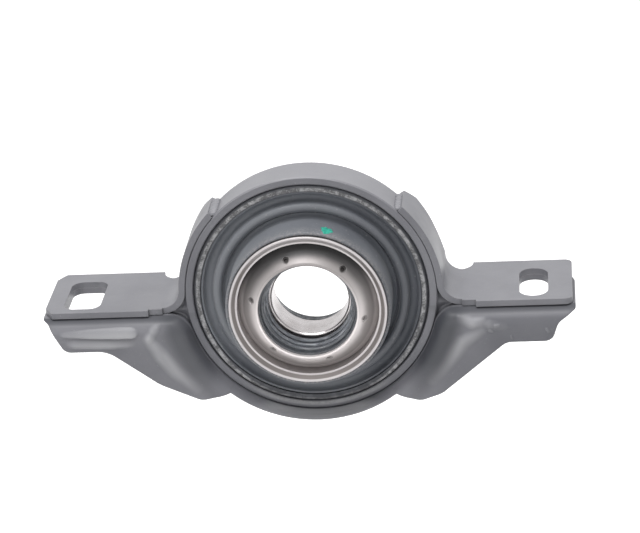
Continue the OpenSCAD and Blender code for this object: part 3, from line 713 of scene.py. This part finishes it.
def web_line(depth, start, tip):
    """Front view of the web's line moved by depth into the flange: straight from x = start, an arc of
    CORNER - depth round the corner, then an arc of RING + depth round the ring, down to angle tip.
    depth, start and tip are columns. Returns x, z and the way in which depth grows."""
    f = ON_STRAIGHT[None, :]
    a = np.pi / 2 + (np.pi / 2 - CORNER_TURN) * ON_CORNER[None, 1:]
    b = -CORNER_TURN - (tip - CORNER_TURN) * ON_RING[None, 1:]
    x = np.hstack([start + (CORNER_X - start) * f, CORNER_X + (CORNER - depth) * np.cos(a),
                   (RING + depth) * np.cos(b)])
    z = np.hstack([WEB_Z - depth + 0 * f, CORNER_Z + (CORNER - depth) * np.sin(a),
                   (RING + depth) * np.sin(b)])
    rows = np.ones_like(depth)
    way_x = np.hstack([0 * rows * f, -rows * np.cos(a), np.cos(b)])
    way_z = np.hstack([-rows + 0 * f, -rows * np.sin(a), np.sin(b)])
    return x, z, way_x, way_z


print("corner at", round(CORNER_X, 2), round(CORNER_Z, 2), "turn", round(math.degrees(CORNER_TURN), 1))

# %% Bend and flange of a wing
BEND_ROWS, BEND_START, FLANGE_ROWS = 44, 8, 46
FOOT_END_Z, FAR_X, SLOPE_STEP, INSIDE = -18, 200, 0.3, 0.4
# Rows of how far inside the edge, and how far behind the front, as the sheet turns over its edge.
EDGE_FOLD = np.array([(0.08, 0.06), (0.0, 0.25), (-0.05, 0.6), (-0.05, 1.2)])


def wing_bend(edge, leave_x, tips):
    """A quarter circle of radius BEND from the web to the flange, carried along the web's line: at the
    angle phi it is BEND (1 - cos phi) deep and BEND sin phi forward. Returns points and normals."""
    end = edge[(edge[:, 0] > leave_x) & (edge[:, 1] > FOOT_END_Z)]
    end = end[np.argsort(end[:, 1])]
    phi = np.radians(np.linspace(BEND_START, 90, BEND_ROWS))[:, None]
    depth = BEND * (1 - np.cos(phi))
    start = np.interp(WEB_Z - depth, end[:, 1], end[:, 0])
    tip = np.radians(np.interp(depth, [2.8, BEND], tips))
    x, z, way_x, way_z = web_line(depth, start, tip)
    points = np.stack([x, BEND_Y - BEND * np.sin(phi) + 0 * x, z], -1)
    return points, np.stack([-np.cos(phi) * way_x, -np.sin(phi) + 0 * x, -np.cos(phi) * way_z], -1)


def wing_flange(edge, leave, top):
    """The flat flange, as straight columns from the bend's last row, top, to just inside the edge, and
    the rows that turn over the edge. The edge's slope gives the way out of it."""
    edge = edge[np.argsort(edge[:, 0])]
    top_x, top_z = top[:, 0], top[:, 2]
    share = np.concatenate([0 * ON_STRAIGHT, ON_CORNER[1:], 1 + ON_RING[1:]])
    under_straight = np.interp(top_x, [CORNER_X, leave[0], FAR_X], [leave[1], leave[0], FAR_X])
    under_corner = np.interp(share, [0, 1, 2], [leave[1], leave[2], top_x[-1]])
    edge_x = np.where(share == 0, under_straight, under_corner)
    edge_z, before, after = (np.interp(edge_x + step, edge[:, 0], edge[:, 1])
                             for step in (0, -SLOPE_STEP, SLOPE_STEP))
    slope = (after - before) / (2 * SLOPE_STEP)
    out_x, out_z = slope / np.hypot(slope, 1), -1 / np.hypot(slope, 1)
    down = (np.linspace(0, 1, FLANGE_ROWS)[1:] ** 0.9)[:, None]
    flat_x = top_x + (edge_x - INSIDE * out_x - top_x) * down
    flat_z = top_z + (edge_z - INSIDE * out_z - top_z) * down
    fold_x, fold_z = edge_x - EDGE_FOLD[:, :1] * out_x, edge_z - EDGE_FOLD[:, :1] * out_z
    return (np.stack([flat_x, FRONT_Y + 0 * flat_x, flat_z], -1),
            np.stack([fold_x, FRONT_Y + EDGE_FOLD[:, 1:] + 0 * fold_x, fold_z], -1))


print("bend of", BEND_ROWS, "rows, flange of", FLANGE_ROWS - 1, "rows, fold of", len(EDGE_FOLD))

# %% Relief of a wing
LAID_ON, SUNK, BORDER, EDGE_BORDER = 0.10, 0.04, 4, 5


def ridge(x, z, line, power):
    """A raised line through rows of (x, z, half width, height): height * (1 - (distance / width)^2)^power
    at each point, where the nearest place on the line gives the width and the height."""
    raised = np.zeros_like(x)
    for (x0, z0, w0, h0), (x1, z1, w1, h1) in zip(line[:-1], line[1:]):
        run_x, run_z = x1 - x0, z1 - z0
        t = np.clip(((x - x0) * run_x + (z - z0) * run_z) / (run_x ** 2 + run_z ** 2), 0, 1)
        distance = np.hypot(x - x0 - t * run_x, z - z0 - t * run_z)
        section = np.clip(1 - (distance / (w0 + t * (w1 - w0))) ** 2, 0, 1) ** power
        raised = np.maximum(raised, (h0 + t * (h1 - h0)) * section)
    return raised


def lap(x, z, drop, line):
    """A fold of metal through rows of (x, top, bottom, height): it rises evenly from its top edge to
    its bottom edge, and falls back smoothly within the drop below that."""
    top, bottom, height = (np.interp(x, line[:, 0], line[:, k]) for k in (1, 2, 3))
    rise = np.clip((top - z) / (top - bottom), 0, 1)
    return height * rise * (2 - rise) ** 0.5 * (1 - ease((bottom - z) / drop))


def wing_skin(outline, leave, tips, ridges, laps=()):
    """outline is rows of (x, z, corner radius) from the foot's end to the wing's tip; leave gives the
    edge's x where columns leave the vertical, at the corner's start and at its end; tips are the angles
    at which the lip and the flange end. A point is the sheet's face plus its normal times the relief,
    and the grid's border is sunk under the sheet. Also gives how strong a painted highlight each point
    gets from its relief."""
    edge = round_corners(np.array(outline))
    bend, bend_normal = wing_bend(edge, leave[0], tips)
    flange, fold = wing_flange(edge, leave, bend[-1])
    face = np.concatenate([bend, flange])
    normal = np.concatenate([bend_normal, np.broadcast_to([0.0, -1.0, 0.0], flange.shape)])
    raised = sum(ridge(face[..., 0], face[..., 2], np.array(line), power) for power, line in ridges)
    raised = raised + sum(lap(face[..., 0], face[..., 2], drop, np.array(line)) for drop, line in laps)
    row, column = np.arange(raised.shape[0])[:, None], np.arange(raised.shape[1])[None, :]
    border = np.minimum(np.minimum(column, column[:, ::-1]), row) / BORDER
    raised = raised * np.clip(row[::-1] / EDGE_BORDER, 0, 1)
    lift = np.clip(border, 0, 1) * (LAID_ON + raised) - SUNK
    relief_highlight = np.concatenate([np.clip(raised, 0, 1), np.zeros(fold.shape[:2])])
    return np.concatenate([face + normal * lift[..., None], fold]), relief_highlight


print("relief helpers ready")

# %% [markdown]
# ## What the die left on each wing
# On the left, two laps of metal lie one above the other under the foot, and a ridge runs from them
# down the wing. On the right there is a dent between two low swellings, a ridge, and four lumps of
# weld spatter. Each is a short line with a width and a height along it. Sculpting by hand would do as
# well, but a line can be moved and measured.

# %% Left wing
def polar(r, degrees):
    """A point of the front view, (x, z), at a radius and an angle under the x axis."""
    return r * math.cos(math.radians(degrees)), -r * math.sin(math.radians(degrees))


LEFT_EDGE = [(106.2, -2, 0), (106.2, -6.5, 1), (104.0, -7.8, 2), (98.0, -19.1, 4), (81.3, -19.1, 12),
             (*polar(70.4, 29.1), 20), (*polar(61.7, 42.4), 6), (32.7, -39.0, 0), (0, -2, 0)]
LEFT_RIDGES = [
    (1.5, [(60.2, -9.0, 1.8, 0.3), (62.6, -11.6, 2.2, 0.65), (64.0, -14.0, 2.2, 0.4)]),
    (2.0, [(64.4, -14.5, 3.0, 0.7), (59.6, -22, 4.2, 1.2), (54.9, -28.4, 4.2, 1.0),
           (47, -36, 3.5, 0.35)])]
LEFT_LAPS = [
    (0.5, [(68.2, -10.9, -11.9, 0.0), (69.3, -9.9, -12.8, 0.8), (71, -9.3, -13.2, 1.15),
           (76, -9.2, -13.2, 1.2), (88, -9.6, -12.9, 0.9), (98, -10.4, -12.2, 0.4),
           (99.8, -10.6, -11.8, 0.0)]),
    (1.8, [(69, -13.8, -15.8, 0.0), (73, -13.6, -16.4, 0.6), (80, -13.5, -16.6, 0.95),
           (94, -13.6, -16.2, 0.75), (98, -14.0, -15.5, 0.0)])]
left_wing, left_relief_highlight = wing_skin(LEFT_EDGE, (81.3, 68.0, 61.5), (49.0, 45.8), LEFT_RIDGES, LEFT_LAPS)
print("left wing's grid", left_wing.shape, "rubbed up to", left_relief_highlight.max().round(2))

# %% Right wing
RIGHT_EDGE = [(102.4, -2, 0), (102.4, -7.5, 1), (95.5, -12.3, 5), (93.0, -19.85, 4), (75.3, -19.85, 6),
              (*polar(64.4, 39.8), 8), (*polar(60.3, 47.1), 6), (30.5, -41.3, 0), (0, -2, 0)]
RIGHT_RIDGES = [
    (2.5, [(57.5, -9.6, 2.6, 0.40), (62.5, -11.8, 3.0, 0.85), (66.5, -11.4, 2.6, 0.5)]),
    (2.5, [(69.0, -12.4, 2.6, 0.65), (74.5, -13.4, 2.4, 0.25)]),
    (2.0, [(66, -14.8, 2.5, 0.4), (58.3, -19.4, 4.0, 1.0), (53.3, -25.6, 4.2, 0.95),
           (46, -35, 3.5, 0.35)])]
SPATTER = [[(69.0, -14.6, 0.9, 0.55), (69.9, -14.9, 0.8, 0.5)],
           [(71.2, -12.7, 0.7, 0.45), (72.6, -12.5, 0.6, 0.3)],
           [(77.2, -17.2, 0.5, 0.4), (77.6, -18.4, 0.5, 0.3)],
           [(91.0, -14.8, 0.8, 0.5), (91.7, -15.8, 0.7, 0.45)]]
right_wing, right_relief_highlight = wing_skin(RIGHT_EDGE, (75.3, 66.0, 57.0), (53.0, 49.7),
                                     RIGHT_RIDGES + [(1.0, lump) for lump in SPATTER])
print("right wing's grid", right_wing.shape, "rubbed up to", right_relief_highlight.max().round(2))

# %% Wing pieces
def painted_piece(name, points):
    """A grid of points in mm, painted as the bracket is and fixed to it."""
    piece = grid_piece(name, points * MM)
    piece.data.materials.append(bracket_paint)
    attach(piece, "bracket")
    facing = np.mean([face.normal for face in piece.data.polygons], axis=0)
    print(name, len(piece.data.polygons), "faces, mean normal", np.round(facing, 2))
    return piece


MIRROR = [-1, 1, 1]
for name, points, relief_highlight in (("left_wing_skin", left_wing[:, ::-1] * MIRROR, left_relief_highlight[:, ::-1]),
                             ("right_wing_skin", right_wing, right_relief_highlight)):
    # The attribute gives the paint a painted highlight on the raised relief.
    highlight_layer = painted_piece(name, points).data.attributes.new("relief_highlight", "FLOAT", "POINT")
    highlight_layer.data.foreach_set("value", relief_highlight.ravel().astype(np.float32))

# %% [markdown]
# ## Welds on the arms
# Each arm lies on the ring and is welded to it along its end. A bead is a row of small overlapping
# puddles, so its section swells and shrinks along the way. It is a grid with one row for each place
# along the shaft and one column for each angle of the section, sunk a little into both sheets. A
# second weld fills the three-sided corner where ring, arm and saddle meet.

# %% Weld beads
ARM_END = math.radians(43.5)
BEAD_FRONT, BEAD_REAR, PUDDLE = -2.6, 12.6, 1.7


def weld_bead(leg, height):
    """A quarter-round section, leg wide on the ring and height tall on the arm's end. It swells by 0.12
    times |sin| of the place along it, sways slowly by 0.04, and is drawn in at both ends."""
    y = np.linspace(BEAD_FRONT, BEAD_REAR, 96)[:, None]
    phi = np.linspace(-0.15, np.pi / 2 + 0.15, 12)[None, :]
    middle, half = (BEAD_FRONT + BEAD_REAR) / 2, (BEAD_REAR - BEAD_FRONT) / 2 + 0.1
    ends = np.clip(1 - ((y - middle) / half) ** 10, 0, 1) ** 0.5
    swell = ends * (0.94 + 0.12 * np.abs(np.sin(np.pi * y / PUDDLE)) + 0.04 * np.sin(2.1 * y))
    turn = ARM_END + (leg * swell * np.sin(phi) - 0.25) / RING
    r = RING - 0.2 + height * swell * np.cos(phi)
    return np.stack([r * np.cos(turn), y + 0 * r, r * np.sin(turn)], -1)


painted_piece("left_weld_bead", weld_bead(3.0, 2.3) * MIRROR)
painted_piece("right_weld_bead", weld_bead(2.0, 1.9)[::-1])

# %% Corner welds
FILLET_X, FILLET_Z, FILLET = 58.7, 3.4, 9.2
ARM_START, SAG_TOP, SAG_DEPTH = 3.3, -0.5, 1.3


def arc_point(centre, r, angle):
    """Points of the front view, (x, z), on a circle."""
    return np.array(centre) + r * np.stack([np.cos(angle), np.sin(angle)], -1)


def corner_weld():
    """Fills the corner between ring, arm and saddle. Each row runs from the ring's arc to the arc of the
    arm's fillet or of the saddle's corner, and sags in the middle: y = -0.5 - 1.3 (2v - 1)^2."""
    u, v = np.linspace(0, 1, 60), np.linspace(0, 1, 14)[None, :]
    near = arc_point((0, 0), RING - 0.3, np.radians(ARM_START) * (1 - u) - CORNER_TURN * u)
    fillet = arc_point((FILLET_X, FILLET_Z), FILLET,
                       np.radians(np.interp(u, [0, 0.5], [180 + ARM_START, 270])))
    corner = arc_point((CORNER_X, CORNER_Z), CORNER - 0.3,
                       np.interp(u, [0.5, 1], [np.pi / 2, np.pi - CORNER_TURN]))
    far = np.where(u[:, None] < 0.5, fillet, corner)
    flat = near[:, None, :] * (1 - v[..., None]) + far[:, None, :] * v[..., None]
    ripple = 0.16 * np.sin(22 * u)[:, None] * np.sin(np.pi * v)
    y = SAG_TOP - SAG_DEPTH * (2 * v - 1) ** 2 + ripple
    return np.stack([flat[..., 0], y, flat[..., 1]], -1)


painted_piece("left_corner_weld", corner_weld() * MIRROR)
painted_piece("right_corner_weld", corner_weld()[::-1])

# %% [markdown]
# ## The inspector's dab
# A quick dab of green paint on the hub says that the part was looked at. It is a thin blob with an
# uneven outline, laid on the round hub: a disc in angle and depth, wrapped to the hub's radius. Its
# rows run out over the top, then back in under it, inside the rubber.

# %% Green paint
dab_green, tree, shader, place = new_finish("dab_green_finish", Specular_IOR_Level=0.5)
streak = noise(tree, place, 900.0, 3.0)
green = tint(tree, spread(tree, streak, 0.35, 0.65), (0.015, 0.27, 0.19), (0.05, 0.44, 0.33))
drive(tree, shader, Base_Color=green, Roughness=spread(tree, streak, 0.3, 0.7, 0.35, 0.55))
raise_surface(tree, shader, streak, 0.05 * MM)
print("green nodes", len(tree.nodes))

# %% Green dab
DAB_TURN, DAB_Y = math.radians(16.3), -12.0
DAB_ACROSS, DAB_ALONG, DAB_HEIGHT, DAB_SUNK = 2.2, 3.1, 0.16, 0.08
TOP_ROWS, UNDER_ROWS, CAP = 9, 5, 0.02
around = np.linspace(0, 2 * np.pi, 48, endpoint=False)[None, :]
outward = np.concatenate([np.linspace(CAP, 1, TOP_ROWS), np.linspace(1, CAP, UNDER_ROWS)])[:, None]
outline = outward * (1 + 0.16 * np.sin(3 * around + 0.6) + 0.10 * np.sin(7 * around + 2.0))
on_top = np.arange(TOP_ROWS + UNDER_ROWS)[:, None] < TOP_ROWS
hub_radius = HUB + np.where(on_top, DAB_HEIGHT * (1 - outward ** 4), -DAB_SUNK)
turn = DAB_TURN + DAB_ACROSS * outline * np.cos(around) / HUB
along_hub = DAB_Y + DAB_ALONG * outline * np.sin(around)
dab_points = np.stack([hub_radius * np.sin(turn), along_hub, hub_radius * np.cos(turn)], -1) * MM
dab = grid_piece("inspection_dab", dab_points[::-1], wrap_columns=True, cap_rows=True)
dab.data.materials.append(dab_green)
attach(dab, "carrier")
print("dab", len(dab.data.polygons), "faces")

# %% [markdown]
